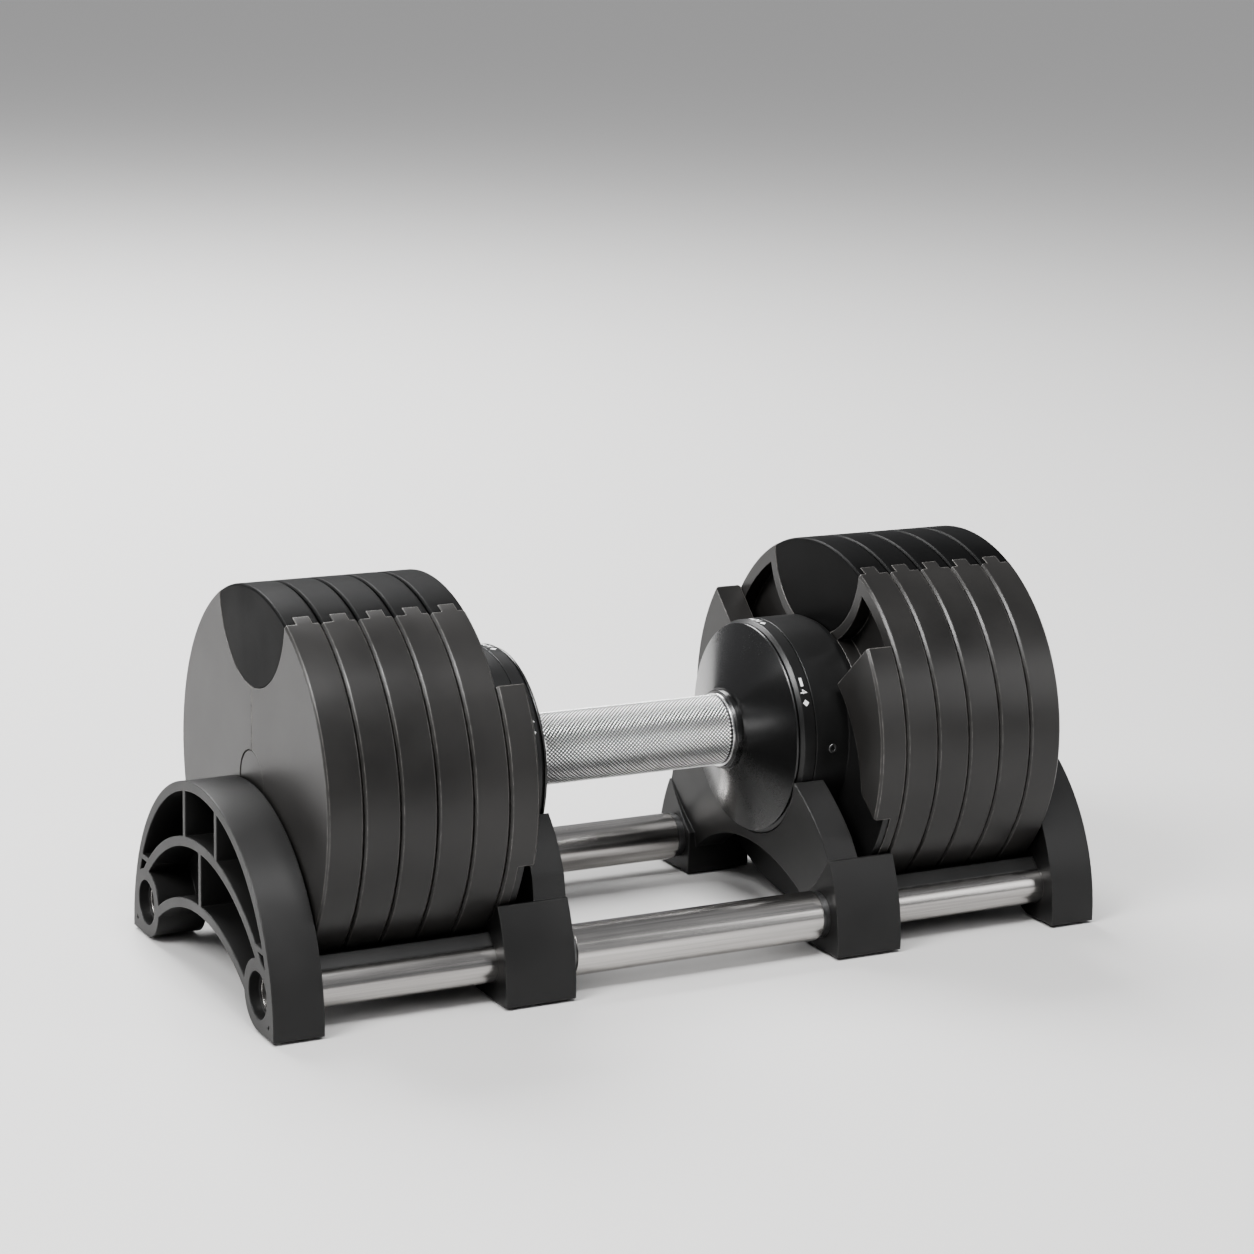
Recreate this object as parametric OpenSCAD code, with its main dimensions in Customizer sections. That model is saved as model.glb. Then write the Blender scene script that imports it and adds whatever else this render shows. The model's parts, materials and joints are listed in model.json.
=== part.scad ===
// Adjustable dumbbell resting in its cradle tray.
// X runs along the handle, Y towards the back, Z up; the floor is z = 0 and the
// middle of the object stands on the origin. The right-hand half is drawn and
// the left-hand half is its mirror image.

/* [Plates] */
// Radius of the weight plates
plate_r = 90; // [84:0.5:96]
// Thickness of one plate
plate_t = 17.1; // [14:0.1:20]
// Distance from one plate to the next
plate_pitch = 17.45; // [17.4:0.05:20.5]
// Inner face of the first plate, from the middle
stack_x = 103.5; // [100:0.5:112]
// Chamfer around each plate's rim
rim_chamfer = 1; // [0.4:0.1:1.6]
// Radius of the dark insert let into the top of each plate
insert_r = 39.7; // [34:0.1:42]
// Height of the insert's centre above the plate's centre
insert_z = 84; // [80:0.5:88]

/* [Handle] */
// Height of the handle's axis above the floor
axis_h = 93; // [93:0.5:100]
// Outer radius of the knurled grip
grip_r = 17.2; // [16.6:0.1:19]
// Half the length of the knurled grip
grip_half = 50; // [44:0.5:52]
// Radius of the sliding rods
rod_r = 11; // [10:0.1:11.2]
// Radius of the bell drum
drum_r = 52.5; // [50:0.1:56]
// Where the turning cone meets the drum, from the middle
cone_x = 68; // [66:0.5:70]
// Inner face of the fixed wing plate, from the middle
wing_x = 88.9; // [86:0.1:92]
// How far each rod slides out
rod_travel = 84; // [60:1:84]

/* [Tray] */
// Distance between the tube centres
tube_gap = 143; // [141:1:150]
// Height of the tube centres
tube_z = 17.8; // [17:0.1:20]
// Radius of the long tubes
tube_r = 9.5; // [8.5:0.1:10]
// Outer radius of the middle sleeves
sleeve_r = 11.8; // [11:0.1:12.5]
// Inner face of each tube clamp, from the middle
support_x = 69; // [66:0.5:72]
// Width of each tube clamp
support_w = 35; // [28:0.5:36]
// Thickness of the leaning saddle plate
saddle_t = 16; // [8:0.5:18]
// Inner face of each end cradle, from the middle
cradle_x = 191.4; // [191.4:0.1:200]
// Width of each end cradle
cradle_w = 24; // [16:0.5:28]
// Radius of the end cradle's outer arch
cradle_r = 89.8; // [88:0.1:94]
// Thickness of the cradle's walls and ribs
wall = 4.6; // [3:0.1:6]

/* [Hidden] */
$fn = 96;

plates = 5;
stack_end = stack_x + (plates - 1) * plate_pitch + plate_t;
clear = 0.3;        // gap between faces that move past each other
over = 1;           // how far a cutting shape runs past the solid it cuts
sole = 1.5;         // height of the tray above the floor, on its feet
tube_y = tube_gap / 2;
plate_bore = rod_r + 0.4;
boss_end = stack_x - 0.4;
boss_front = boss_end - 9.1;

cap_r = 14.5;
cap_t = 2;
hub_r = 50;         // radius of each plate's middle, inside its face pockets
tab_depth = 5;      // how far the plate's tab reaches into its insert
tab_from = 0.22;    // where the tab starts and ends, as shares of the thickness
tab_to = 0.67;
key_half = 4;       // half width of the dovetail key at its neck
key_flare = 2;
key_depth = 2;
key_low = -42;      // the key's lower and upper end, from the axis
key_high = -16;

drum_x = 76;        // front edge of the fixed drum
cone_front = 54.5;
dial_in = 44;       // inner radius of the dial ring
drive_r = 14.5;     // outer radius of the drive tube
drive_end = boss_front - 1.1;
bearing_gap = 0.08;
rod_start = 2;
rod_end = stack_x - 0.9;
bar_side = 8.1;
bar_half = 95;

pin_half = 3;       // half width of the lock pin
pin_low = 0.3 - drum_r;  // the pin's ends, from the axis
pin_high = pin_low + 12.7;
pin_x = 77;
tooth_x = 72;
pin_len = 6;
pin_travel = 4;
guide_top = pin_high + 6.7;

flange_t = 3.5;     // black flange that the wing is screwed to
wing_screw_r = 67;
wing_screw_angles = [2, -45, -90, -135, 178];

// ---- helpers --------------------------------------------------------------

// Draws the right-hand half (s = 1) or its mirror image (s = -1).
module side(s) {
    if (s < 0) mirror([1, 0, 0]) children();
    else children();
}

// Extrudes a Y-Z outline along X, from x0.
module along_x(x0, len) {
    translate([x0, 0, 0]) rotate([90, 0, 90]) linear_extrude(len) children();
}

// A cylinder along X, from x0, around the point (y, z).
module bar_x(x0, len, r, y = 0, z = axis_h) {
    translate([x0, y, z]) rotate([0, 90, 0]) cylinder(h = len, r = r);
}

// Turns an outline of [radius, x] points around the handle's axis.
module turned(points) {
    translate([0, 0, axis_h]) rotate([0, 90, 0]) rotate_extrude() polygon(points);
}

// A disc outline in the Y-Z plane, around the handle's axis.
module axis_disc(r) {
    translate([0, axis_h]) circle(r);
}

module at_tubes() {
    for (y = [-tube_y, tube_y]) translate([y, tube_z]) children();
}

// ---- plates ---------------------------------------------------------------

function plate_x(n) = stack_x + (n - 1) * plate_pitch;

module plate_blank(n) {
    x = plate_x(n);
    turned([[0, x], [plate_r - rim_chamfer, x], [plate_r, x + rim_chamfer],
        [plate_r, x + plate_t - rim_chamfer], [plate_r - rim_chamfer, x + plate_t],
        [0, x + plate_t]]);
}

// The rim tabs that stand into the insert, grown by gap.
module rim_tabs(n, gap) {
    along_x(plate_x(n) + tab_from * plate_t - gap, (tab_to - tab_from) * plate_t + 2 * gap)
        intersection() {
            translate([0, axis_h + insert_z]) difference() {
                circle(insert_r + over);
                circle(insert_r - tab_depth - gap);
            }
            difference() {
                axis_disc(plate_r + gap);
                axis_disc(plate_r - 8 - gap);
            }
        }
}

module insert_hole(n) {
    difference() {
        bar_x(plate_x(n) - over, plate_t + 2 * over, insert_r, 0, axis_h + insert_z);
        rim_tabs(n, 0);
    }
}

// Dovetail across the inner face, from the bottom of the rim to the top.
module dovetail_slot(n) {
    x = plate_x(n);
    half = key_half + clear;
    depth = key_depth + clear;
    translate([0, 0, axis_h - plate_r - over]) linear_extrude(2 * (plate_r + over))
        polygon([[x - over, -half], [x, -half], [x + depth, -half - key_flare],
            [x + depth, half + key_flare], [x, half], [x - over, half]]);
}

module dovetail_key(n) {
    x = plate_x(n) + plate_t;
    mouth = plate_x(n + 1);
    translate([0, 0, axis_h + key_low]) linear_extrude(key_high - key_low)
        polygon([[x - over, -key_half], [mouth, -key_half],
            [mouth + key_depth, -key_half - key_flare + clear],
            [mouth + key_depth, key_half + key_flare - clear],
            [mouth, key_half], [x - over, key_half]]);
}

// Shallow cast pockets either side of the rib that runs around the insert.
module face_pockets(n) {
    rib_r = insert_r + 5.3;
    along_x(plate_x(n) - over, over + 8) intersection() {
        difference() {
            axis_disc(plate_r - 7);
            axis_disc(hub_r);
            translate([0, axis_h + insert_z]) circle(rib_r);
        }
        translate([0, axis_h]) polygon([[-90, 24.5], [-90, 90], [90, 90], [90, 24.5]]);
    }
}

module plate(n) {
    x = plate_x(n);
    color([0.13, 0.13, 0.13]) difference() {
        union() {
            plate_blank(n);
            if (n < plates) dovetail_key(n);
        }
        bar_x(x - over, plate_t + 2 * over, plate_bore);
        insert_hole(n);
        face_pockets(n);
        if (n > 1) dovetail_slot(n);
        if (n == plates) {
            bar_x(x + plate_t - cap_t, cap_t + over, cap_r);
            // fine parting line between the hub cap and the insert
            translate([x + plate_t - 0.5, -0.3, axis_h + cap_r - 1])
                cube([over, 0.6, insert_z - insert_r - cap_r + 2]);
        }
    }
}

module insert(n) {
    color([0.05, 0.05, 0.05]) difference() {
        intersection() {
            plate_blank(n);
            bar_x(plate_x(n) - over, plate_t + 2 * over, insert_r, 0, axis_h + insert_z);
        }
        rim_tabs(n, 0);
        if (n > 1) dovetail_slot(n);
    }
}

module hub_cap() {
    color([0.15, 0.15, 0.15]) bar_x(stack_end - cap_t, cap_t, cap_r);
}

// ---- handle: parts that stay still ----------------------------------------

// Everything above the wing's slanting shoulders.
module above_shoulders() {
    translate([0, axis_h]) polygon([[-44, 26.7], [-110, 87.4], [-110, 110],
        [110, 110], [110, 87.4], [44, 26.7]]);
}

// Outline of the sunk flange: round at the sides, then out to the rim below.
module flange_outline(reach) {
    intersection() {
        union() {
            translate([0, axis_h - 25.6]) circle(73.5);
            translate([0, axis_h]) polygon([[-72, -16.5], [-98, -37], [-98, -98],
                [98, -98], [98, -37], [72, -16.5]]);
        }
        axis_disc(reach);
    }
}

module at_wing_screws() {
    for (a = wing_screw_angles)
        translate([0, wing_screw_r * cos(a), axis_h + wing_screw_r * sin(a)])
            rotate([0, 90, 0]) children();
}

module wing_screw_shapes() {
    at_wing_screws() union() {
        translate([0, 0, boss_front - 0.6]) cylinder(h = 2.1, r = 3.2);
        translate([0, 0, boss_front + 1.5]) cylinder(h = 6.6, r = 1.8);
    }
}

module key_block() {
    translate([boss_front + 2, -1.9, axis_h + rod_r - 1.8]) cube([6, 3.8, 3.8]);
}

// The lock pin's guide, cast inside the drum at its lowest point.
module pin_guide() {
    translate([drum_x + 0.6, -7, axis_h - drum_r + 2])
        cube([boss_front - drum_x - 1, 14, drum_r - 2 + guide_top + 2]);
}

module pin_channel() {
    translate([drum_x - over, -pin_half - 0.15, axis_h - drum_r - over])
        cube([pin_x + pin_len + 0.3 - drum_x + over, 2 * pin_half + 0.3,
            drum_r + over + guide_top]);
}

module boss() {
    color([0.04, 0.04, 0.04]) difference() {
        union() {
            turned([[drum_r, drum_x], [drum_r, boss_front + flange_t + 0.5],
                [drum_r - 2.2, boss_end], [rod_r + 0.05, boss_end], [rod_r + 0.05, boss_front],
                [17.5, boss_front], [17.5, boss_front - 4.5],
                [drive_r + bearing_gap, boss_front - 4.5], [drive_r + bearing_gap, 84],
                [20, 84], [20, boss_front - 2], [drum_r - 4, boss_front - 2],
                [drum_r - 4, drum_x]]);
            along_x(boss_front, flange_t) difference() {
                flange_outline(plate_r - 0.5);
                axis_disc(drum_r - over);
                above_shoulders();
            }
            pin_guide();
        }
        pin_channel();
        wing_screw_shapes();
        key_block();
    }
}

module wing() {
    rim = plate_r - rim_chamfer;
    color([0.14, 0.14, 0.14]) difference() {
        turned([[drum_r + 0.1, wing_x], [rim, wing_x], [plate_r, wing_x + rim_chamfer],
            [plate_r, boss_end - rim_chamfer], [rim, boss_end], [drum_r + 0.1, boss_end]]);
        along_x(wing_x - over, boss_end - wing_x + 2 * over) above_shoulders();
        along_x(wing_x - over, boss_front + flange_t - wing_x + over)
            flange_outline(plate_r + 2 * over);
        wing_screw_shapes();
    }
}

module wing_screws() {
    color([0.35, 0.35, 0.36]) for (s = [-1, 1]) side(s) wing_screw_shapes();
}

module guide_bar() {
    color([0.6, 0.6, 0.62]) translate([-bar_half, -bar_side / 2, axis_h - bar_side / 2])
        cube([2 * bar_half, bar_side, bar_side]);
}

module rod_keys() {
    color([0.6, 0.6, 0.62]) for (s = [-1, 1]) side(s) key_block();
}

// ---- handle: parts that turn with the grip --------------------------------

module grip_sleeve() {
    color([0.75, 0.75, 0.76]) difference() {
        bar_x(-grip_half, 2 * grip_half, grip_r);
        bar_x(-grip_half - over, 2 * (grip_half + over), drive_r);
    }
}

module grip_end_rings() {
    color([0.8, 0.8, 0.8]) for (s = [-1, 1]) side(s)
        turned([[drive_r, grip_half], [grip_r + 0.3, grip_half], [grip_r + 0.9, grip_half + 0.6],
            [grip_r + 0.9, cone_front - 0.6], [grip_r + 0.3, cone_front], [drive_r, cone_front]]);
}

module pin_shapes() {
    for (a = [90, 270]) translate([86.5, 0, axis_h]) rotate([a, 0, 0])
        translate([0, 0, rod_r + 0.2]) cylinder(h = drive_r - rod_r - 0.3, r = 1.5);
}

module drive_tube() {
    color([0.5, 0.5, 0.5]) difference() {
        bar_x(-drive_end, 2 * drive_end, drive_r);
        bar_x(-drive_end - over, 2 * (drive_end + over), rod_r + 0.5);
        for (s = [-1, 1]) side(s) pin_shapes();
    }
}

module drive_pins() {
    color([0.7, 0.7, 0.7]) for (s = [-1, 1]) side(s) pin_shapes();
}

module snap_rings() {
    color([0.3, 0.3, 0.3]) for (s = [-1, 1]) side(s)
        turned([[drive_r, boss_front - 4], [17, boss_front - 4], [17, boss_front - 2],
            [drive_r, boss_front - 2]]);
}

module thrust_collars() {
    color([0.3, 0.3, 0.3]) for (s = [-1, 1]) side(s)
        turned([[drive_r, 80], [19.5, 80], [19.5, 83.7], [drive_r, 83.7]]);
}

module cone() {
    edge = drum_r - 1.6;
    color([0.03, 0.03, 0.03]) turned([[drive_r, cone_front], [21.5, cone_front],
        [edge, cone_x - 1.6], [edge, cone_x], [dial_in, cone_x], [20, cone_front + 5],
        [20, cone_x + 6], [drive_r, cone_x + 6]]);
}

// Number ring; six notches inside it take the lock pin, one for each setting.
module dial() {
    edge = drum_r - 0.2;
    color([0.04, 0.04, 0.04]) difference() {
        turned([[dial_in, cone_x], [edge - 1.6, cone_x], [edge, cone_x + 1.6],
            [edge, drum_x - clear], [dial_in, drum_x - clear]]);
        for (a = [0:60:300]) translate([0, 0, axis_h]) rotate([a, 0, 0])
            translate([tooth_x - 0.5, -pin_half - 0.5, -dial_in - 5.5])
                cube([drum_x - tooth_x + over, 2 * pin_half + 1, 8]);
    }
}

// ---- sliding rods and lock pins -------------------------------------------

module rod() {
    len = rod_end - rod_start;
    color([0.72, 0.72, 0.73]) difference() {
        bar_x(rod_start, len, rod_r);
        translate([rod_start - over, -bar_side / 2 - 0.1, axis_h - bar_side / 2 - 0.1])
            cube([len + 2 * over, bar_side + 0.2, bar_side + 0.2]);
        translate([rod_start - over, -2.1, axis_h + rod_r - 2])
            cube([len + 2 * over, 4.2, 3]);
    }
}

module lock_pin() {
    color([0.7, 0.7, 0.7]) union() {
        translate([pin_x, -pin_half, axis_h + pin_low])
            cube([pin_len, 2 * pin_half, pin_high - pin_low]);
        translate([tooth_x, -pin_half, axis_h - dial_in + 0.6])
            cube([pin_x - tooth_x + over, 2 * pin_half, pin_high + dial_in - 0.6]);
    }
}

module lock_spring() {
    wire = 0.5;
    coils = 5;
    rise = (guide_top - pin_high - 2 * wire - 0.1) / (coils - 1);
    color([0.75, 0.75, 0.75]) for (i = [0:coils - 1])
        translate([pin_x + pin_len / 2, 0, axis_h + pin_high + wire + 0.05 + i * rise])
            rotate_extrude() translate([2.2, 0]) circle(wire);
}

// ---- tray -----------------------------------------------------------------

cradle_z = 3.3;     // centre height of the cradle's outer arch
floor_arch_r = 96.9;
floor_arch_z = -64.3;
mid_arch_r = 102.5;
mid_arch_z = -36;
socket_r = 16.3;
web_t = 5;          // closed wall that faces the plates

module cradle_outline() {
    difference() {
        intersection() {
            translate([0, cradle_z]) circle(cradle_r);
            translate([-cradle_r, sole]) square([2 * cradle_r, 2 * cradle_r]);
        }
        translate([0, floor_arch_z]) circle(floor_arch_r);
    }
}

// Walls and ribs of the open outer face.
module cradle_walls() {
    intersection() {
        cradle_outline();
        union() {
            difference() {
                translate([0, cradle_z]) circle(cradle_r);
                translate([0, cradle_z]) circle(cradle_r - wall);
            }
            translate([0, floor_arch_z]) circle(floor_arch_r + wall);
            difference() {
                translate([0, mid_arch_z]) circle(mid_arch_r);
                translate([0, mid_arch_z]) circle(mid_arch_r - wall);
            }
            difference() {
                for (y = [-20, 20]) translate([y - 1.5, 50]) square([3, 50]);
                translate([0, mid_arch_z]) circle(mid_arch_r - wall);
            }
            translate([-1.5, 30]) square([3, 32]);
            for (y = [-tube_y, tube_y]) translate([y - 8, tube_z + 20]) square([16, 2.5]);
            translate([-cradle_r, 0]) square([2 * cradle_r, sole + wall]);
        }
    }
    at_tubes() circle(socket_r);
}

module foot_shape(x, y) {
    translate([x, y, 0]) cylinder(h = 2 * sole, r = 6);
}

module foot_shapes() {
    for (y = [-80, 80]) foot_shape(cradle_x + cradle_w / 2, y);
    for (y = [-78, 78]) foot_shape(support_x + support_w - 9, y);
}

module cradle() {
    color([0.06, 0.06, 0.06]) difference() {
        union() {
            along_x(cradle_x, web_t) cradle_outline();
            along_x(cradle_x, cradle_w) cradle_walls();
        }
        along_x(cradle_x - over, cradle_w + 2 * over) at_tubes() circle(tube_r);
        along_x(cradle_x + cradle_w - 5, 5 + over) at_tubes() circle(tube_r + 1.3);
        foot_shapes();
    }
}

module support_screw_shapes() {
    for (y = [-tube_y, tube_y]) translate([support_x + 9, y, sole + 0.5]) union() {
        cylinder(h = 3.5, r = 4.5);
        cylinder(h = tube_z - tube_r - sole - 0.5, r = 2.5);
    }
}

support_top = axis_h - 7;
block_top = axis_h - 47;
clamp_y = 57;
lean = 7.5;         // how far the saddle plate leans towards the middle, in degrees

// Saddle plate: a cradle for the bell above, an arch below.
module saddle_outline() {
    arch_r = 91;
    tip_y = drum_r + 6;
    difference() {
        intersection() {
            translate([0, cradle_z]) circle(cradle_r);
            translate([0, sole]) polygon([[-cradle_r, 0], [cradle_r, 0],
                [cradle_r - 12, block_top - sole], [tip_y, support_top - sole],
                [-tip_y, support_top - sole], [12 - cradle_r, block_top - sole]]);
        }
        axis_disc(drum_r + clear);
        translate([0, axis_h - drum_r - 5.5 - arch_r]) circle(arch_r);
    }
}

// The leaning slab that the saddle plate is cut from; it meets the clamps' inner
// face at tube height.
module leaning_slab() {
    translate([support_x + 4, -100, tube_z]) rotate([0, -lean, 0])
        translate([0, 0, -50]) cube([saddle_t, 200, 200]);
}

// Clamping blocks around the tubes, hollowed to clear the plates.
module support_blocks() {
    difference() {
        intersection() {
            translate([0, cradle_z]) circle(cradle_r);
            for (s = [-1, 1]) translate([s > 0 ? clamp_y : -cradle_r, sole])
                square([cradle_r - clamp_y, block_top - sole]);
        }
        axis_disc(plate_r + 0.5);
    }
}

module support() {
    color([0.05, 0.05, 0.05]) difference() {
        union() {
            intersection() {
                along_x(support_x - 15, 40) saddle_outline();
                leaning_slab();
            }
            along_x(support_x, support_w) support_blocks();
        }
        along_x(support_x - over, support_w + 2 * over) at_tubes() circle(tube_r);
        along_x(wing_x - 0.5, support_w) axis_disc(plate_r + 0.5);
        support_screw_shapes();
        foot_shapes();
    }
}

tube_half = cradle_x + cradle_w - 5;
plug_len = 10;

module tube(y) {
    color([0.6, 0.6, 0.58]) difference() {
        bar_x(-tube_half, 2 * tube_half, tube_r, y, tube_z);
        bar_x(-tube_half - over, 2 * (tube_half + over), tube_r - 1.5, y, tube_z);
    }
}

module sleeve(y) {
    half = support_x - 4;
    color([0.62, 0.62, 0.6]) difference() {
        bar_x(-half, 2 * half, sleeve_r, y, tube_z);
        bar_x(-half - over, 2 * (half + over), tube_r, y, tube_z);
    }
}

module sleeve_collars() {
    color([0.4, 0.4, 0.4]) for (s = [-1, 1]) side(s)
        along_x(support_x - 4, 4) at_tubes() difference() {
            circle(sleeve_r - 0.8);
            circle(tube_r);
        }
}

module tube_plugs() {
    color([0.08, 0.08, 0.08]) for (s = [-1, 1]) side(s) difference() {
        along_x(tube_half - plug_len - 1, plug_len) at_tubes() circle(tube_r - 1.5);
        along_x(tube_half - 5, 5) at_tubes() circle(2.5, $fn = 6);
    }
}

module support_screws() {
    color([0.35, 0.35, 0.36]) for (s = [-1, 1]) side(s) support_screw_shapes();
}

// Strips along the tubes that carry the rims of the plates.
module rest_rails() {
    color([0.07, 0.07, 0.07]) along_x(support_x + support_w, cradle_x - support_x - support_w)
        difference() {
            for (s = [-1, 1]) translate([s * tube_y, tube_z]) intersection() {
                circle(tube_r + 4.4);
                rotate(s * 43.6) translate([-9, 0]) square([18, 20]);
            }
            at_tubes() circle(tube_r);
            axis_disc(plate_r + clear);
        }
}

module feet() {
    color([0.1, 0.1, 0.1]) for (s = [-1, 1]) side(s) foot_shapes();
}

// ---- nodes ----------------------------------------------------------------

side(-1) cradle();  // left_cradle
side(1) cradle();  // right_cradle
side(-1) support();  // left_support
side(1) support();  // right_support
tube(-tube_y);  // front_tube
tube(tube_y);  // rear_tube
sleeve(-tube_y);  // front_sleeve
sleeve(tube_y);  // rear_sleeve
sleeve_collars();
tube_plugs();
support_screws();
side(-1) rest_rails();  // left_rest_rails
side(1) rest_rails();  // right_rest_rails
feet();
side(-1) boss();  // left_boss
side(1) boss();  // right_boss
side(-1) wing();  // left_wing
side(1) wing();  // right_wing
wing_screws();
guide_bar();
rod_keys();
grip_sleeve();
grip_end_rings();
drive_tube();
drive_pins();
snap_rings();
thrust_collars();
side(-1) cone();  // left_cone
side(1) cone();  // right_cone
side(-1) dial();  // left_dial
side(1) dial();  // right_dial
side(-1) rod();  // left_rod
side(1) rod();  // right_rod
side(-1) lock_pin();  // left_lock_pin
side(1) lock_pin();  // right_lock_pin
side(-1) lock_spring();  // left_lock_spring
side(1) lock_spring();  // right_lock_spring
for (n = [1:plates]) {
    side(-1) plate(n);
    side(1) plate(n);
    side(-1) insert(n);
    side(1) insert(n);
}
side(-1) hub_cap();  // left_hub_cap
side(1) hub_cap();  // right_hub_cap
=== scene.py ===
import json
import math

import bmesh
import bpy
from mathutils import Matrix, Vector


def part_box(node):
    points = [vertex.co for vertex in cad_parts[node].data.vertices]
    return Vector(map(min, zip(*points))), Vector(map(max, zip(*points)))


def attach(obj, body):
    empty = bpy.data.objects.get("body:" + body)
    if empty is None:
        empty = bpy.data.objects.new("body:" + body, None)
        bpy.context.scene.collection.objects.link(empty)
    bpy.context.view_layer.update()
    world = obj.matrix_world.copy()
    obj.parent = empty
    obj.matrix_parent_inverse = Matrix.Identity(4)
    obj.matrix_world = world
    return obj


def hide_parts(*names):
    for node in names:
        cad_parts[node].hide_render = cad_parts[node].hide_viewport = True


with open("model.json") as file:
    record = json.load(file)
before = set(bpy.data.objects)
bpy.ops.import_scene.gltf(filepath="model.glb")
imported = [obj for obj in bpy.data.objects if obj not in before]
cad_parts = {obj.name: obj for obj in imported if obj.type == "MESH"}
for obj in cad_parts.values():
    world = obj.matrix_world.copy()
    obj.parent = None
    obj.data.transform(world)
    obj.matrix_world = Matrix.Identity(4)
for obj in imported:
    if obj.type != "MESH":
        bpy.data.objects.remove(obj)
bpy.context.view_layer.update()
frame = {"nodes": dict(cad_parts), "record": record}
nodes = frame["nodes"]
bodyOf = {node: body for body, members in frame["record"]["behaviour"]["bodies"].items() for node in members}
gripLow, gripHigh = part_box("grip_sleeve")
axisHeight = (gripLow.z + gripHigh.z) / 2
mm = 0.001
print("frame loaded:", len(nodes), "nodes")


# how the paler edges of every finish break up and spread; they stand for rubbed wear and also paint a highlight along
# the edges
rubAndHighlight = {"scale": 260, "reach": 7.0}


class Signal:
    # one shader socket; + - * / on it add Math nodes
    def __init__(self, paint, socket):
        self.paint = paint
        self.socket = socket

    def calc(self, operation, other=0.0, flipped=False):
        first, second = (other, self) if flipped else (self, other)
        return self.paint.node("ShaderNodeMath", {"operation": operation}, {0: first, 1: second})

    def __add__(self, other):
        return self.calc("ADD", other)

    def __radd__(self, other):
        return self.calc("ADD", other)

    def __sub__(self, other):
        return self.calc("SUBTRACT", other)

    def __rsub__(self, other):
        return self.calc("SUBTRACT", other, True)

    def __mul__(self, other):
        return self.calc("MULTIPLY", other)

    def __rmul__(self, other):
        return self.calc("MULTIPLY", other, True)

    def __truediv__(self, other):
        return self.calc("DIVIDE", other)

    def clamped(self):
        return self.paint.node("ShaderNodeClamp", {}, {"Value": self})


class Paint:
    # a material on the Principled shader, with the steps that all finishes share
    def __init__(self, name, constants):
        self.material = bpy.data.materials.new(name)
        self.material.use_nodes = True
        self.tree = self.material.node_tree
        self.shader = self.tree.nodes["Principled BSDF"]
        for socket, value in constants.items():
            self.shader.inputs[socket].default_value = value

    def node(self, kind, settings, sockets, output=0):
        made = self.tree.nodes.new(kind)
        for key, value in settings.items():
            if key == "stops":
                for stop, (place, shade) in zip(self.stopsOf(made.color_ramp, len(value)), value):
                    stop.position = place
                    stop.color = (shade, shade, shade, 1)
            else:
                setattr(made, key, value)
        for key, value in sockets.items():
            if isinstance(value, Signal):
                self.tree.links.new(value.socket, made.inputs[key])
            else:
                made.inputs[key].default_value = value
        return Signal(self, made.outputs[output])

    def stopsOf(self, ramp, count):
        while len(ramp.elements) < count:
            ramp.elements.new(0.5)
        return ramp.elements

    def feed(self, **links):
        names = {"color": "Base Color", "roughness": "Roughness", "normal": "Normal"}
        for key, signal in links.items():
            self.tree.links.new(signal.socket, self.shader.inputs[names[key]])

    def noise(self, scale, detail=3.0, stretch=(1, 1, 1)):
        place = self.node("ShaderNodeTexCoord", {}, {}, "Object")
        place = self.node("ShaderNodeMapping", {}, {"Vector": place, "Scale": stretch})
        return self.node("ShaderNodeTexNoise", {}, {"Vector": place, "Scale": scale, "Detail": detail})

    def ramp(self, value, stops):
        return self.node("ShaderNodeValToRGB", {"stops": stops}, {"Fac": value})

    def blend(self, share, first, second):
        # sockets 6 and 7 are the colour inputs of the Mix node, output 2 the colour
        return self.node("ShaderNodeMix", {"data_type": "RGBA"}, {0: share, 6: first, 7: second}, 2)

    def softEdge(self, radius):
        return self.node("ShaderNodeBevel", {"samples": 4}, {"Radius": radius})

    def wear(self, soft):
        # 0 on flat faces and near 1 along edges, broken up by noise
        face = self.node("ShaderNodeNewGeometry", {}, {}, "Normal")
        same = self.node("ShaderNodeVectorMath", {"operation": "DOT_PRODUCT"}, {0: soft, 1: face}, "Value")
        rough = self.ramp(self.noise(rubAndHighlight["scale"], 4), [(0.38, 0.25), (0.62, 1.0)])
        return ((1 - same) * rubAndHighlight["reach"]).clamped() * rough

    def bump(self, height, strength, distance, base=None):
        sockets = {"Height": height, "Strength": strength, "Distance": distance}
        if base:
            sockets["Normal"] = base
        return self.node("ShaderNodeBump", {}, sockets)


def shade(value, warmth=0.0):
    return (value * (1 + warmth), value, value * (1 - warmth), 1)


def coatedFinish(name, look):
    # moulded plastic or coated iron: mottled colour, fine grain, paler edges that are partly rubbed wear and partly a
    # painted edge highlight
    paint = Paint(name, {"Specular IOR Level": look["specular"], "Coat Weight": look.get("coat", 0.0),
                         "Coat Roughness": look.get("coatRoughness", 0.2)})
    soft = paint.softEdge(look["edge"])
    wear = paint.wear(soft)
    cloud = paint.ramp(paint.noise(look["cloud"], 5), [(0.35, 0.0), (0.68, 1.0)])
    base = paint.blend(cloud, shade(look["dark"], look["warmth"]), shade(look["pale"], look["warmth"]))
    grain = paint.noise(look["grain"], 2)
    # paler edges: rubbed wear plus a painted highlight along the edges
    paint.feed(
        color=paint.blend(wear * look["wearAmount"], base, shade(look["worn"], look["warmth"])),
        roughness=(cloud * look["roughSpread"] + grain * 0.06 + (look["rough"] - 0.03) - wear * 0.08).clamped(),
        normal=paint.bump(grain, look["bump"], 0.00004, soft))
    return paint.material


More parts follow.
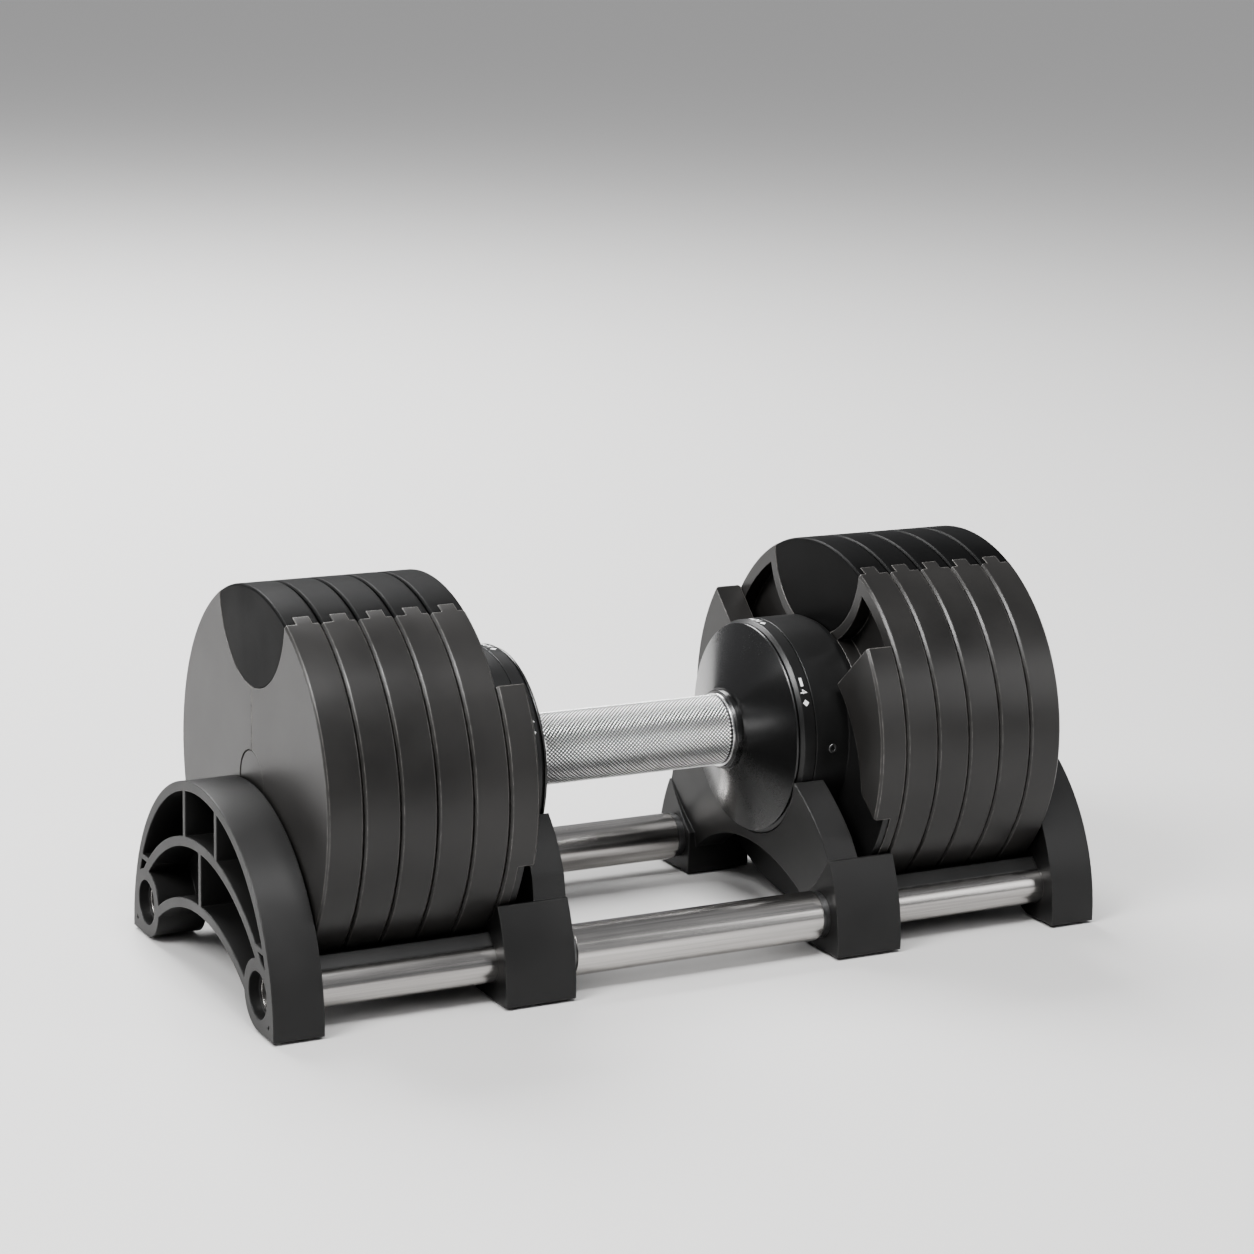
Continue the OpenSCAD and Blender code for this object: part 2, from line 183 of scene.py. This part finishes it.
def steelFinish(name, look):
    # metal with fine lines; stretch squeezes the noise into strokes
    paint = Paint(name, {"Metallic": 1.0})
    soft = paint.softEdge(look["edge"])
    wear = paint.wear(soft)
    strokes = paint.noise(look["scale"], 4, look["stretch"])
    cloud = paint.noise(30, 4)
    base = paint.blend(paint.ramp(strokes, [(0.3, 0.0), (0.7, 1.0)]),
                       shade(look["dark"], look["warmth"]), shade(look["pale"], look["warmth"]))
    paint.feed(
        color=paint.blend(wear * 0.5, base, shade(look["pale"] * 1.15, look["warmth"])),
        roughness=(strokes * look["roughSpread"] + cloud * 0.1 + look["rough"] - 0.05).clamped(),
        normal=paint.bump(strokes, look["bump"], 0.00003, soft))
    return paint.material


def knurlFinish(name, look):
    # bright crests and grooves darkened with painted shade, told apart by how far out from the axis the point lies
    paint = Paint(name, {"Metallic": 1.0})
    place = paint.node("ShaderNodeTexCoord", {}, {}, "Object")
    flat = paint.node("ShaderNodeVectorMath", {"operation": "MULTIPLY"}, {0: place, 1: (0, 1, 1)})
    flat = paint.node("ShaderNodeVectorMath", {"operation": "SUBTRACT"}, {0: flat, 1: (0, 0, axisHeight)})
    reach = paint.node("ShaderNodeVectorMath", {"operation": "LENGTH"}, {0: flat}, "Value")
    crest = ((reach - (look["radius"] - look["depth"])) / look["depth"]).clamped()
    crest = paint.ramp(crest, [(0.18, 0.0), (0.55, 1.0)])
    cloud = paint.noise(60, 4)
    # the dark groove colour is painted shade in the knurl's hollows
    paint.feed(
        color=paint.blend(crest, shade(look["groove"]), shade(look["crest"])),
        roughness=(0.42 - crest * 0.2 + cloud * 0.1).clamped(),
        normal=paint.bump(paint.noise(2500, 2), 0.1, 0.00002))
    return paint.material


finishes = {
    "trayPlastic": coatedFinish("trayPlastic", {
        "dark": 0.007, "pale": 0.012, "worn": 0.09, "warmth": 0.02, "cloud": 22, "grain": 2600, "bump": 0.35,
        "rough": 0.4, "roughSpread": 0.1, "specular": 0.45, "edge": 0.0009, "wearAmount": 0.35}),
    # the plates' pale edge colour is raised to paint the bright highlights along the plate rims, on top of rubbed
    # wear
    "plateCoat": coatedFinish("plateCoat", {
        "dark": 0.013, "pale": 0.020, "worn": 0.3, "warmth": 0.05, "cloud": 18, "grain": 1900, "bump": 0.3,
        "rough": 0.31, "roughSpread": 0.08, "specular": 0.5, "edge": 0.0007, "wearAmount": 0.85}),
    "insertPlastic": coatedFinish("insertPlastic", {
        "dark": 0.002, "pale": 0.004, "worn": 0.05, "warmth": 0.0, "cloud": 26, "grain": 2200, "bump": 0.4,
        "rough": 0.46, "roughSpread": 0.1, "specular": 0.1, "edge": 0.0005, "wearAmount": 0.6}),
    "bellGloss": coatedFinish("bellGloss", {
        "dark": 0.006, "pale": 0.010, "worn": 0.05, "warmth": 0.0, "cloud": 14, "grain": 1500, "bump": 0.08,
        "rough": 0.24, "roughSpread": 0.05, "specular": 0.6, "edge": 0.0006, "wearAmount": 0.3,
        "coat": 0.25, "coatRoughness": 0.2}),
    "drumPaint": coatedFinish("drumPaint", {
        "dark": 0.007, "pale": 0.012, "worn": 0.05, "warmth": 0.0, "cloud": 18, "grain": 1700, "bump": 0.12,
        "rough": 0.3, "roughSpread": 0.08, "specular": 0.5, "edge": 0.0006, "wearAmount": 0.4}),
    "rubber": coatedFinish("rubber", {
        "dark": 0.010, "pale": 0.018, "worn": 0.04, "warmth": 0.0, "cloud": 60, "grain": 1200, "bump": 0.5,
        "rough": 0.75, "roughSpread": 0.12, "specular": 0.3, "edge": 0.0005, "wearAmount": 0.4}),
    "markWhite": coatedFinish("markWhite", {
        "dark": 0.62, "pale": 0.74, "worn": 0.5, "warmth": 0.0, "cloud": 300, "grain": 3000, "bump": 0.1,
        "rough": 0.45, "roughSpread": 0.1, "specular": 0.4, "edge": 0.0001, "wearAmount": 0.3}),
    "brushedTube": steelFinish("brushedTube", {
        "dark": 0.36, "pale": 0.5, "warmth": 0.03, "scale": 900, "stretch": (0.012, 1, 1), "bump": 0.25,
        "rough": 0.17, "roughSpread": 0.14, "edge": 0.0006}),
    "sleeveSteel": steelFinish("sleeveSteel", {
        "dark": 0.42, "pale": 0.56, "warmth": 0.03, "scale": 820, "stretch": (0.012, 1, 1), "bump": 0.25,
        "rough": 0.16, "roughSpread": 0.14, "edge": 0.0006}),
    "darkSteel": steelFinish("darkSteel", {
        "dark": 0.16, "pale": 0.24, "warmth": 0.0, "scale": 700, "stretch": (1, 1, 0.1), "bump": 0.2,
        "rough": 0.32, "roughSpread": 0.12, "edge": 0.0004}),
    "ringSteel": steelFinish("ringSteel", {
        "dark": 0.62, "pale": 0.76, "warmth": 0.0, "scale": 300, "stretch": (1, 1, 1), "bump": 0.05,
        "rough": 0.16, "roughSpread": 0.08, "edge": 0.0002}),
    "knurlSteel": knurlFinish("knurlSteel", {
        "radius": (gripHigh.z - gripLow.z) / 2, "depth": 0.0006, "groove": 0.05, "crest": 0.92}),
    "rodSteel": steelFinish("rodSteel", {
        "dark": 0.5, "pale": 0.66, "warmth": 0.01, "scale": 900, "stretch": (0.05, 1, 1), "bump": 0.15,
        "rough": 0.2, "roughSpread": 0.1, "edge": 0.0005}),
}
print("finishes made:", len(finishes))


def newPiece(name, mesh, body, finish, replaced=()):
    piece = bpy.data.objects.new(name, mesh)
    bpy.context.scene.collection.objects.link(piece)
    mesh.materials.clear()
    mesh.materials.append(finishes[finish])
    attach(piece, body)
    if replaced:
        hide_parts(*replaced)
    return piece


def smoothMesh(mesh, angle=32):
    for face in mesh.polygons:
        face.use_smooth = True
    mesh.set_sharp_from_angle(angle=math.radians(angle))


def roundedOutline(points, radius, steps=4):
    # cuts each corner of a closed outline with a small arc
    result = []
    count = len(points)
    for i in range(count):
        before, here, after = (Vector(points[(i + k) % count]) for k in (-1, 0, 1))
        toBefore, toAfter = before - here, after - here
        reach = min(radius, toBefore.length * 0.45, toAfter.length * 0.45)
        start = here + toBefore.normalized() * reach
        end = here + toAfter.normalized() * reach
        for k in range(steps + 1):
            t = k / steps
            result.append(start * (1 - t) ** 2 + here * (2 * t * (1 - t)) + end * t ** 2)
    return result


def lathe(name, outline, segments=192, mirrored=False, radius=0.0004):
    # turns a closed outline of (x, r) in metres around the handle's axis
    sign = -1 if mirrored else 1
    ring = roundedOutline(outline, radius)
    shape = bmesh.new()
    rows = []
    for k in range(segments):
        turn = 2 * math.pi * k / segments
        rows.append([shape.verts.new((sign * p.x, p.y * math.cos(turn), axisHeight + p.y * math.sin(turn)))
                     for p in ring])
    for k in range(segments):
        here, there = rows[k], rows[(k + 1) % segments]
        for i in range(len(ring)):
            j = (i + 1) % len(ring)
            shape.faces.new((here[i], here[j], there[j], there[i]))
    bmesh.ops.recalc_face_normals(shape, faces=shape.faces)
    mesh = bpy.data.meshes.new(name)
    shape.to_mesh(mesh)
    shape.free()
    smoothMesh(mesh)
    return mesh


def fromNodes(name, tree, values):
    # runs a node tree on an empty mesh and returns the plain mesh it makes
    host = bpy.data.objects.new(name, bpy.data.meshes.new(name))
    bpy.context.scene.collection.objects.link(host)
    modifier = host.modifiers.new("shape", "NODES")
    modifier.node_group = tree
    for item in tree.interface.items_tree:
        if item.item_type == "SOCKET" and item.in_out == "INPUT" and item.name in values:
            modifier[item.identifier] = values[item.name]
    graph = bpy.context.evaluated_depsgraph_get()
    mesh = bpy.data.meshes.new_from_object(host.evaluated_get(graph), depsgraph=graph)
    host.modifiers.remove(modifier)
    bpy.data.objects.remove(host)
    return mesh


class NodeTree:
    # a Geometry Nodes tree with named inputs
    def __init__(self, name, inputs):
        self.tree = bpy.data.node_groups.new(name, "GeometryNodeTree")
        self.tree.interface.new_socket("Geometry", in_out="INPUT", socket_type="NodeSocketGeometry")
        for label, kind in inputs.items():
            self.tree.interface.new_socket(label, in_out="INPUT", socket_type=kind)
        self.tree.interface.new_socket("Geometry", in_out="OUTPUT", socket_type="NodeSocketGeometry")
        self.start = self.tree.nodes.new("NodeGroupInput")
        self.end = self.tree.nodes.new("NodeGroupOutput")

    def input(self, label):
        return self.start.outputs[label]

    def add(self, kind, settings, sockets, output=0):
        made = self.tree.nodes.new(kind)
        for key, value in settings.items():
            setattr(made, key, value)
        for key, value in sockets.items():
            if isinstance(value, bpy.types.NodeSocket):
                self.tree.links.new(value, made.inputs[key])
            else:
                made.inputs[key].default_value = value
        return made.outputs[output]

    def math(self, operation, first, second=0.0, third=0.0):
        return self.add("ShaderNodeMath", {"operation": operation}, {0: first, 1: second, 2: third})

    def finish(self, geometry, material):
        real = self.add("GeometryNodeRealizeInstances", {}, {"Geometry": geometry})
        done = self.add("GeometryNodeSetMaterial", {}, {"Geometry": real, "Material": material})
        self.tree.links.new(done, self.end.inputs[0])
        return self.tree


# the knurled grip, in millimetres
grip = {"diamondLength": 2.0, "diamondWidth": 1.9, "depth": 0.6, "bore": 14.5}


def knurlTree():
    # a wrapped grid whose vertices alternate between crest and groove
    t = NodeTree("knurl", {"Length": "NodeSocketFloat", "Radius": "NodeSocketFloat", "Bore": "NodeSocketFloat",
                           "Depth": "NodeSocketFloat", "Along": "NodeSocketInt", "Around": "NodeSocketInt",
                           "Axis Height": "NodeSocketFloat", "Material": "NodeSocketMaterial"})
    along, around = t.input("Along"), t.input("Around")
    grid = t.add("GeometryNodeMeshGrid", {}, {"Size X": 1.0, "Size Y": 1.0, "Vertices X": t.math("ADD", along, 4),
                                              "Vertices Y": t.math("ADD", around, 1)})
    place = t.add("GeometryNodeInputPosition", {}, {})
    apart = t.add("ShaderNodeSeparateXYZ", {}, {0: place})
    apartY = apart.node.outputs[1]
    column = t.math("ROUND", t.math("MULTIPLY", t.math("ADD", apart, 0.5), t.math("ADD", along, 3)))
    row = t.math("ROUND", t.math("MULTIPLY", t.math("ADD", apartY, 0.5), around))
    step = t.math("SUBTRACT", column, 1)
    inside = t.math("MAXIMUM", t.math("LESS_THAN", step, -0.5),
                    t.math("GREATER_THAN", step, t.math("ADD", along, 0.5)))
    last = t.math("GREATER_THAN", step, t.math("ADD", along, 1.5))
    share = t.math("DIVIDE", t.math("MINIMUM", t.math("MAXIMUM", step, 0), along), along)
    share = t.math("MULTIPLY", share, t.math("SUBTRACT", 1.0, last))
    atEnd = t.math("MAXIMUM", t.math("LESS_THAN", step, 0.5),
                   t.math("GREATER_THAN", step, t.math("SUBTRACT", along, 0.5)))
    odd = t.math("MAXIMUM", t.math("FLOORED_MODULO", t.math("ADD", column, row), 2), atEnd)
    outer = t.math("SUBTRACT", t.input("Radius"), t.math("MULTIPLY", odd, t.input("Depth")))
    radius = t.math("ADD", t.math("MULTIPLY", outer, t.math("SUBTRACT", 1.0, inside)),
                    t.math("MULTIPLY", t.input("Bore"), inside))
    turn = t.math("MULTIPLY", t.math("DIVIDE", row, around), 2 * math.pi)
    spot = t.add("ShaderNodeCombineXYZ", {}, {
        0: t.math("MULTIPLY", t.math("SUBTRACT", share, 0.5), t.input("Length")),
        1: t.math("MULTIPLY", radius, t.math("COSINE", turn)),
        2: t.math("ADD", t.input("Axis Height"), t.math("MULTIPLY", radius, t.math("SINE", turn)))})
    moved = t.add("GeometryNodeSetPosition", {}, {"Geometry": grid, "Position": spot})
    merged = t.add("GeometryNodeMergeByDistance", {}, {"Geometry": moved, "Distance": 0.00002})
    cut = t.add("GeometryNodeTriangulate", {}, {"Mesh": merged})
    return t.finish(cut, t.input("Material"))


gripLength = gripHigh.x - gripLow.x
gripRadius = (gripHigh.z - gripLow.z) / 2
alongCount = 2 * round(gripLength / (grip["diamondLength"] * mm))
aroundCount = 2 * round(2 * math.pi * gripRadius / (grip["diamondWidth"] * mm))
knurlMesh = fromNodes("knurledGrip", knurlTree(), {
    "Length": gripLength, "Radius": gripRadius, "Bore": grip["bore"] * mm, "Depth": grip["depth"] * mm,
    "Along": alongCount, "Around": aroundCount, "Axis Height": axisHeight, "Material": finishes["knurlSteel"]})
shape = bmesh.new()
shape.from_mesh(knurlMesh)
bmesh.ops.recalc_face_normals(shape, faces=shape.faces)
shape.to_mesh(knurlMesh)
shape.free()
newPiece("knurledGrip", knurlMesh, "grip", "knurlSteel", ["grip_sleeve"])
print("grip knurled:", len(knurlMesh.polygons), "faces")


# the turned pieces at the grip's ends, in millimetres from the middle
bell = {"gripEnd": 50.0, "silverWidth": 1.5, "silverRadius": 18.1, "blackWidth": 3.2, "blackRadius": 19.4,
        "neckRadius": 21.5, "neck": 54.5, "neckStep": 0.8, "hubRadius": 20.0, "edge": 68.0, "rimWidth": 1.7,
        "lip": 0.5, "lipDepth": 1.2, "wall": 5.0, "hubEnd": 6.0, "bore": 14.5, "dialBore": 44.0}
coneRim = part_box("right_cone")[1].y
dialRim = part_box("right_dial")[1].y


def scaled(points):
    return [(x * mm, r * mm) for x, r in points]


for side, mirrored in (("left", True), ("right", False)):
    b = bell
    silverEnd = b["gripEnd"] + b["silverWidth"]
    silver = lathe(side + "GripWasher", scaled([(b["gripEnd"], b["bore"]), (b["gripEnd"], b["silverRadius"]),
                                               (silverEnd, b["silverRadius"]), (silverEnd, b["bore"])]),
                   mirrored=mirrored, radius=0.0003)
    newPiece(side + "GripWasher", silver, "grip", "ringSteel", ["grip_end_rings"])
    black = lathe(side + "GripRing", scaled([(silverEnd, b["bore"]), (silverEnd, b["blackRadius"]),
                                            (silverEnd + b["blackWidth"], b["blackRadius"]),
                                            (silverEnd + b["blackWidth"], b["bore"])]),
                  mirrored=mirrored, radius=0.0006)
    newPiece(side + "GripRing", black, "grip", "bellGloss")
    rim = coneRim / mm
    coneMesh = lathe(side + "BellCone", scaled([
        (b["neck"], b["bore"]), (b["neck"], b["hubRadius"]), (b["neck"] + b["neckStep"], b["neckRadius"]),
        (b["edge"] - b["rimWidth"], rim), (b["edge"] - b["lip"], rim), (b["edge"] - b["lip"], rim - b["lipDepth"]),
        (b["edge"], rim - b["lipDepth"]), (b["edge"], b["dialBore"]), (b["neck"] + b["wall"], b["hubRadius"]),
        (b["edge"] + b["hubEnd"], b["hubRadius"]), (b["edge"] + b["hubEnd"], b["bore"])]),
        mirrored=mirrored, radius=0.0007)
    newPiece(side + "BellCone", coneMesh, "grip", "bellGloss", [side + "_cone"])
print("bells turned")


# the painted marks and the set screws around the bells, in millimetres and degrees
marks = {"numbers": ("34", "4", "10", "16", "22", "28"), "size": 5.2, "thick": 0.12, "fromMiddle": 72.2,
         "baseline": 1.75, "firstTurn": 88.5, "step": 60.0, "diamond": 1.7, "diamondAfter": 5.6,
         "bar": (4.4, 1.5), "barBefore": 4.9}
setScrew = {"fromMiddle": 85.0, "seat": 52.5, "count": 2, "radius": 2.3, "key": 1.25, "deep": 1.6, "proud": 0.15}


def aroundBell(mesh, fromMiddle, turn, radius):
    # bends a flat shape round the bell: its x runs round, its y along the handle, its z outwards
    for v in mesh.vertices:
        angle = math.radians(turn) + v.co.x / radius
        out = radius + v.co.z
        v.co = (fromMiddle + v.co.y, out * math.cos(angle), axisHeight + out * math.sin(angle))


def numberMesh(text, size, thick):
    curve = bpy.data.curves.new("number", "FONT")
    curve.body = text
    curve.size = size
    curve.extrude = thick / 2
    curve.align_x = "CENTER"
    curve.resolution_u = 4
    holder = bpy.data.objects.new("number", curve)
    bpy.context.scene.collection.objects.link(holder)
    graph = bpy.context.evaluated_depsgraph_get()
    mesh = bpy.data.meshes.new_from_object(holder.evaluated_get(graph), depsgraph=graph)
    bpy.data.objects.remove(holder)
    return mesh


def flatMesh(outline, thick):
    shape = bmesh.new()
    face = shape.faces.new([shape.verts.new((x, y, -thick / 2)) for x, y in outline])
    grown = bmesh.ops.extrude_face_region(shape, geom=[face])
    for v in (g for g in grown["geom"] if isinstance(g, bmesh.types.BMVert)):
        v.co.z = thick / 2
    bmesh.ops.recalc_face_normals(shape, faces=shape.faces)
    mesh = bpy.data.meshes.new("mark")
    shape.to_mesh(mesh)
    shape.free()
    return mesh


def joined(name, meshes):
    shape = bmesh.new()
    for mesh in meshes:
        shape.from_mesh(mesh)
        bpy.data.meshes.remove(mesh)
    bmesh.ops.remove_doubles(shape, verts=shape.verts, dist=1e-7)
    bmesh.ops.recalc_face_normals(shape, faces=shape.faces)
    mesh = bpy.data.meshes.new(name)
    shape.to_mesh(mesh)
    shape.free()
    return mesh


def screwShape(look):
    # round set screw with a six-sided key hole, standing on z
    radius, key, deep, proud = (look[k] * mm for k in ("radius", "key", "deep", "proud"))
    shape = bmesh.new()
    rings = []
    for r, z, sides in ((radius, -deep, 24), (radius, proud - 0.0002, 24), (radius - 0.0002, proud, 24),
                        (key, proud, 6), (key, -deep * 0.6, 6)):
        row = []
        for k in range(24):
            turn = 2 * math.pi * k / 24
            if sides == 6:
                r6 = r * math.cos(math.pi / 6) / math.cos((turn % (math.pi / 3)) - math.pi / 6)
            row.append(shape.verts.new(((r6 if sides == 6 else r) * math.cos(turn),
                                        (r6 if sides == 6 else r) * math.sin(turn), z)))
        rings.append(row)
    for lower, upper in zip(rings, rings[1:]):
        for k in range(24):
            shape.faces.new((lower[k], lower[(k + 1) % 24], upper[(k + 1) % 24], upper[k]))
    shape.faces.new(rings[0][::-1])
    shape.faces.new(rings[-1])
    bmesh.ops.recalc_face_normals(shape, faces=shape.faces)
    mesh = bpy.data.meshes.new("screwShape")
    shape.to_mesh(mesh)
    shape.free()
    return mesh


def ringTree():
    # sets copies of a shape around the handle's axis, standing outwards
    t = NodeTree("ringOfCopies", {"Shape": "NodeSocketObject", "Count": "NodeSocketInt", "Radius": "NodeSocketFloat",
                                  "From Middle": "NodeSocketFloat", "First Turn": "NodeSocketFloat",
                                  "Axis Height": "NodeSocketFloat", "Material": "NodeSocketMaterial"})
    line = t.add("GeometryNodeMeshLine", {}, {"Count": t.input("Count")})
    index = t.add("GeometryNodeInputIndex", {}, {})
    turn = t.math("ADD", t.math("MULTIPLY", t.math("DIVIDE", index, t.input("Count")), 2 * math.pi),
                  t.input("First Turn"))
    radius = t.input("Radius")
    outY = t.math("MULTIPLY", radius, t.math("COSINE", turn))
    outZ = t.math("MULTIPLY", radius, t.math("SINE", turn))
    spot = t.add("ShaderNodeCombineXYZ", {}, {0: t.input("From Middle"), 1: outY,
                                              2: t.math("ADD", t.input("Axis Height"), outZ)})
    placed = t.add("GeometryNodeSetPosition", {}, {"Geometry": line, "Position": spot})
    outward = t.add("ShaderNodeCombineXYZ", {}, {0: 0.0, 1: outY, 2: outZ})
    facing = t.add("FunctionNodeAlignRotationToVector", {"axis": "Z"}, {"Vector": outward})
    source = t.add("GeometryNodeObjectInfo", {}, {"Object": t.input("Shape")}, "Geometry")
    copies = t.add("GeometryNodeInstanceOnPoints", {}, {"Points": placed, "Instance": source, "Rotation": facing})
    return t.finish(copies, t.input("Material"))


ringOfCopies = ringTree()
screwHolder = bpy.data.objects.new("screwShape", screwShape(setScrew))
bpy.context.scene.collection.objects.link(screwHolder)
for side, sign in (("left", -1), ("right", 1)):
    flats = []
    for k, text in enumerate(marks["numbers"]):
        turn = marks["firstTurn"] + k * marks["step"]
        middle = sign * marks["fromMiddle"] * mm
        number = numberMesh(text, marks["size"] * mm, marks["thick"] * mm)
        halfDiamond, after = marks["diamond"] * mm, marks["diamondAfter"] * mm
        diamond = flatMesh([(after - halfDiamond, 0), (after, -halfDiamond), (after + halfDiamond, 0),
                            (after, halfDiamond)], marks["thick"] * mm)
        long, wide = (v * mm for v in marks["bar"])
        before = marks["barBefore"] * mm
        bar = flatMesh([(-before - long / 2, -wide / 2), (-before + long / 2, -wide / 2),
                        (-before + long / 2, wide / 2), (-before - long / 2, wide / 2)], marks["thick"] * mm)
        aroundBell(number, middle - marks["baseline"] * mm, turn, dialRim)
        aroundBell(diamond, middle, turn, dialRim)
        aroundBell(bar, middle, turn, dialRim)
        flats += [number, diamond, bar]
    newPiece(side + "DialMarks", joined(side + "DialMarks", flats), "grip", "markWhite")
    screws = fromNodes(side + "SetScrews", ringOfCopies, {
        "Shape": screwHolder, "Count": setScrew["count"], "Radius": setScrew["seat"] * mm,
        "From Middle": sign * setScrew["fromMiddle"] * mm, "First Turn": 0.0, "Axis Height": axisHeight,
        "Material": finishes["darkSteel"]})
    newPiece(side + "SetScrews", screws, "handle", "darkSteel")
bpy.data.objects.remove(screwHolder)
print("dial marks and set screws placed")


# how far the edges of the cast and moulded pieces are rounded, in millimetres
softness = {"plate": 0.4, "insert": 0.4, "wing": 0.5, "cradle": 0.6, "support": 0.8, "boss": 0.4, "hub_cap": 0.2}
# how much smaller a piece is drawn, in millimetres, so that a seam shows around it
seams = {"insert": 0.14, "hub_cap": 0.3}


def softened(name, node, width, shift=0.0, seam=0.0):
    # merges the node's loose triangles, opens up its flat faces and rounds its edges
    shape = bmesh.new()
    shape.from_mesh(nodes[node].data)
    bmesh.ops.remove_doubles(shape, verts=shape.verts, dist=0.000002)
    bmesh.ops.dissolve_limit(shape, angle_limit=math.radians(0.6), verts=shape.verts, edges=shape.edges)
    shape.normal_update()
    inward = [v.normal * v.calc_shell_factor() * seam * mm for v in shape.verts]
    for v, step in zip(shape.verts, inward):
        v.co += Vector((shift, 0, 0)) - step
    mesh = bpy.data.meshes.new(name)
    shape.to_mesh(mesh)
    shape.free()
    for face in mesh.polygons:
        face.use_smooth = True
    holder = bpy.data.objects.new(name, mesh)
    bpy.context.scene.collection.objects.link(holder)
    bevel = holder.modifiers.new("edges", "BEVEL")
    bevel.width = width * mm
    bevel.segments = 2
    bevel.limit_method = "ANGLE"
    bevel.angle_limit = math.radians(30)
    bevel.use_clamp_overlap = True
    weighted = holder.modifiers.new("shading", "WEIGHTED_NORMAL")
    weighted.weight = 80
    graph = bpy.context.evaluated_depsgraph_get()
    result = bpy.data.meshes.new_from_object(holder.evaluated_get(graph), depsgraph=graph)
    bpy.data.objects.remove(holder)
    result.name = name
    return result


# the finish of a CAD node, by the first of these words in its name
finishWords = {"screws": "darkSteel", "hub_cap": "plateCoat", "plate": "plateCoat", "insert": "insertPlastic",
               "cradle": "trayPlastic", "support": "trayPlastic", "rest_rails": "trayPlastic", "plugs": "trayPlastic",
               "drive_tube": "rodSteel", "_tube": "brushedTube", "_sleeve": "sleeveSteel",
               "sleeve_collars": "darkSteel", "feet": "rubber", "boss": "drumPaint", "wing": "plateCoat",
               "dial": "drumPaint", "cone": "bellGloss"}


def finishFor(node):
    return next((finish for word, finish in finishWords.items() if word in node), "rodSteel")


def camel(node):
    words = node.split("_")
    return words[0] + "".join(w.capitalize() for w in words[1:])


for node in nodes:
    kind = next((k for k in softness if k in node), None)
    if kind is None or node.endswith("screws"):
        continue
    source, shift = node, 0.0
    if kind == "insert":
        # the first insert has no dovetail slot, so the top of the stack stays closed
        source = node[:-1] + "1"
        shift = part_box(node)[0].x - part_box(source)[0].x
    mesh = softened(camel(node), source, softness[kind], shift, seams.get(kind, 0.0))
    newPiece(camel(node), mesh, bodyOf[node], finishFor(node), [node])
print("edges softened")


for name, cadNode in nodes.items():
    material = finishes[finishFor(name)]
    if not cadNode.material_slots:
        cadNode.data.materials.append(material)
    for slot in cadNode.material_slots:
        slot.material = material
print("finishes on the carried-over nodes")


# floor, world and lights; places in metres, powers in watts
stage = {"floorSize": 60.0, "floorShade": 0.5, "world": 0.28, "sun": 1.5, "sunAngle": 1.0, "sunTurn": (0.5, -0.35, 0),
         "lights": {
             "key": {"place": (-1.7, -0.5, 1.9), "size": 0.9, "power": 58},
             "back": {"place": (-0.1, 1.9, 1.9), "size": 1.5, "power": 112, "aim": (-0.1, 1.6, 0)},
             "left": {"place": (-2.3, 0.5, 0.7), "size": 1.0, "power": 16},
             "side": {"place": (1.7, -1.5, 0.9), "size": 1.1, "power": 10},
             "strip": {"place": (-0.1, -0.9, 2.0), "size": 0.5, "power": 26}}}

floorMesh = bpy.data.meshes.new("floor")
half = stage["floorSize"] / 2
floorMesh.from_pydata([(-half, -half, 0), (half, -half, 0), (half, half, 0), (-half, half, 0)], [], [(0, 1, 2, 3)])
floor = bpy.data.objects.new("floor", floorMesh)
bpy.context.scene.collection.objects.link(floor)
floorPaint = Paint("floorPaint", {"Base Color": shade(stage["floorShade"], 0.01), "Roughness": 0.7})
floorMesh.materials.append(floorPaint.material)

world = bpy.data.worlds.new("studio")
bpy.context.scene.world = world
world.use_nodes = True
world.node_tree.nodes["Background"].inputs["Color"].default_value = (0.86, 0.87, 0.9, 1)
world.node_tree.nodes["Background"].inputs["Strength"].default_value = stage["world"]

for name, light in stage["lights"].items():
    lamp = bpy.data.lights.new(name, "AREA")
    lamp.size = light["size"]
    lamp.energy = light["power"]
    holder = bpy.data.objects.new(name, lamp)
    holder.location = light["place"]
    aim = Vector(light.get("aim", (0, 0, 0.08)))
    holder.rotation_euler = (aim - Vector(light["place"])).to_track_quat("-Z", "Y").to_euler()
    bpy.context.scene.collection.objects.link(holder)

sun = bpy.data.lights.new("sun", "SUN")
sun.energy = stage["sun"]
sun.angle = stage["sunAngle"]
sunHolder = bpy.data.objects.new("sun", sun)
sunHolder.rotation_euler = stage["sunTurn"]
bpy.context.scene.collection.objects.link(sunHolder)

camera = {"place": (-0.7053, -1.3253, 0.4940), "right": (0.88517, -0.46461, 0.02465),
          "up": (0.08300, 0.20983, 0.97422), "back": (-0.4578, -0.8603, 0.2243), "lens": 93.06}
eye = bpy.data.cameras.new("camera")
eye.lens = camera["lens"]
eye.sensor_width = 36
viewer = bpy.data.objects.new("camera", eye)
turned = Matrix((camera["right"], camera["up"], camera["back"])).transposed().to_4x4()
viewer.matrix_world = Matrix.Translation(camera["place"]) @ turned
bpy.context.scene.collection.objects.link(viewer)
bpy.context.scene.camera = viewer
bpy.context.scene.view_settings.look = "AgX - Medium High Contrast"
print("stage, lights and camera set")
